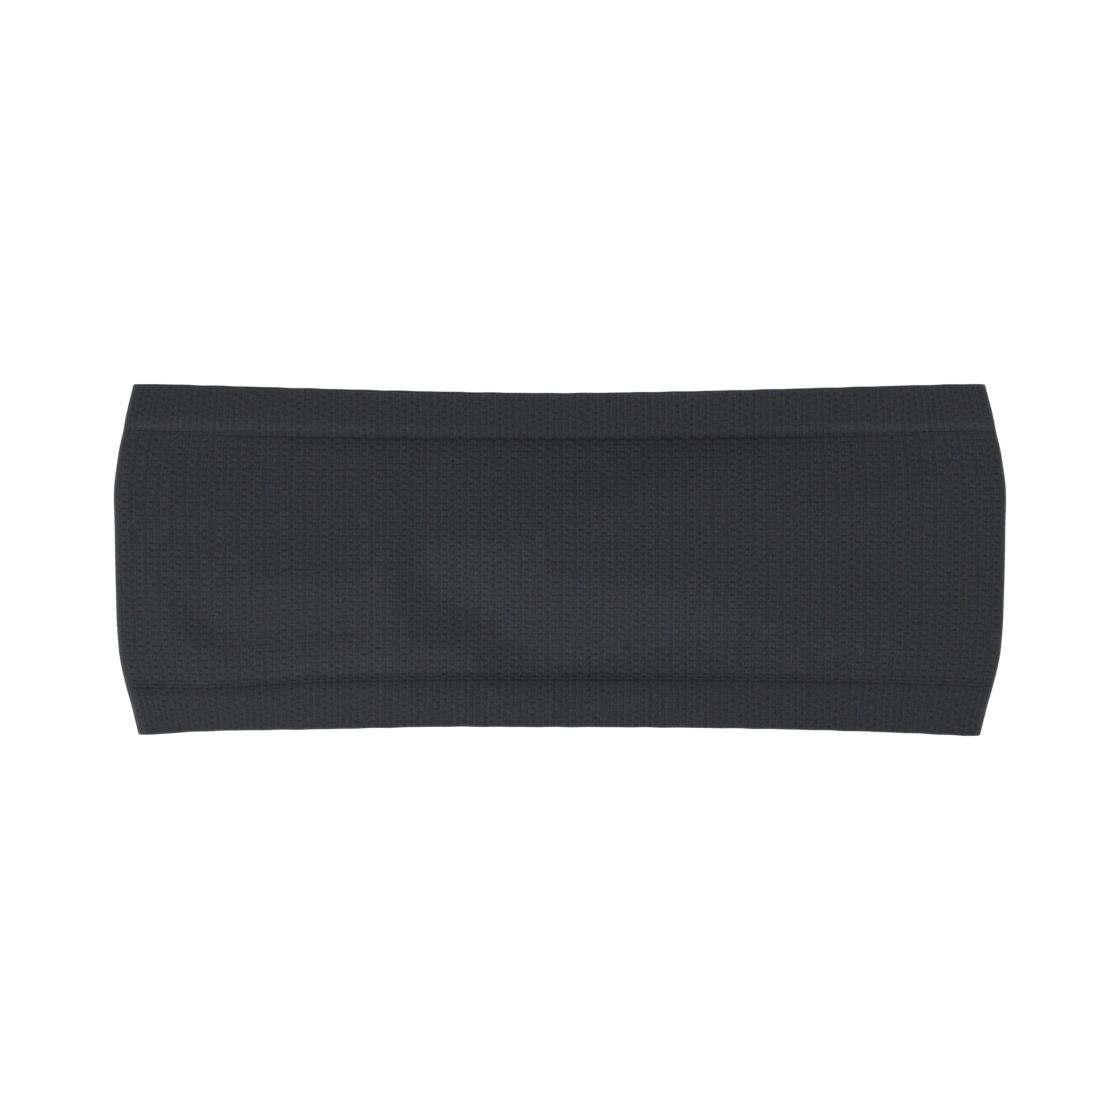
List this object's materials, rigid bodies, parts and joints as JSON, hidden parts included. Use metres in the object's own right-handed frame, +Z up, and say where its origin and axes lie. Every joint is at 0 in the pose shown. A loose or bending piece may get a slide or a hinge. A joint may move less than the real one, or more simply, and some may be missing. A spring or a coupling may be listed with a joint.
{
  "type": "sports headband",
  "caption": "Wide seamless knitted sports headband, lying flat and slightly open, with a turned elastic welt along each edge.",
  "frame": {"origin": "on the surface that the band lies on, under the middle of the band", "axes": "+X along the flat width, +Y along the tube's axis towards the edge worn uppermost, +Z up from the surface through the front of the band"},
  "size_m": [0.235, 0.0926, 0.0128],
  "materials": {
    "body_knit": "matt mesh knit, dark charcoal",
    "welt_knit": "matt ribbed knit, dark charcoal",
    "join_yarn": "matt knit loops, dark charcoal",
    "elastic_yarn": "covered elastic yarn, near black"
  },
  "bodies": {
    "root": {"body_tube": "body_knit", "upper_welt": "welt_knit", "upper_join_course": "join_yarn", "upper_elastic_yarn_1": "elastic_yarn", "upper_elastic_yarn_2": "elastic_yarn", "upper_elastic_yarn_3": "elastic_yarn", "upper_elastic_yarn_4": "elastic_yarn", "lower_welt": "welt_knit", "lower_join_course": "join_yarn", "lower_elastic_yarn_1": "elastic_yarn", "lower_elastic_yarn_2": "elastic_yarn", "lower_elastic_yarn_3": "elastic_yarn", "lower_elastic_yarn_4": "elastic_yarn"}
  },
  "joints": []
}
